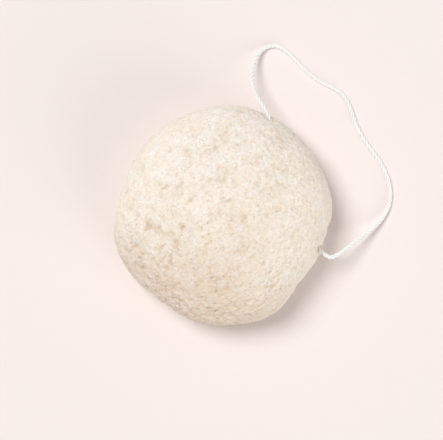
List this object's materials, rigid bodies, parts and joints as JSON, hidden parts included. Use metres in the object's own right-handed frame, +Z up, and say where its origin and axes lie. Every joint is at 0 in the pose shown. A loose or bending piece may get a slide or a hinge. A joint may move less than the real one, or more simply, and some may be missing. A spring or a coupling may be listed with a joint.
{
  "type": "konjac sponge",
  "caption": "Half-ball facial sponge of pale porous plant foam with a flat base, and a hanging loop of white twisted cotton string threaded through one side.",
  "frame": {"origin": "centre of the sponge's flat base, on the surface it rests on", "axes": "+Z up through the dome's crown; the string's channel lies on the +X side, turned 21 degrees towards +Y"},
  "size_m": [0.1018, 0.1028, 0.034],
  "materials": {
    "konjac_foam": "matte, open fine pores, cream white",
    "cotton_string": "matte twisted cotton, white"
  },
  "bodies": {
    "sponge": {"sponge_body": "konjac_foam"},
    "hanging_loop": {"string_loop": "cotton_string", "upper_string_run": "cotton_string", "lower_string_run": "cotton_string", "string_knot": "cotton_string"}
  },
  "joints": [
    {"name": "loop_swing", "type": "hinge", "parent": "sponge", "child": "hanging_loop", "pos_m": [0.02651, 0.01018, 0.013], "axis": [0.3584, -0.9336, 0], "range_deg": [-80, 145]}
  ]
}
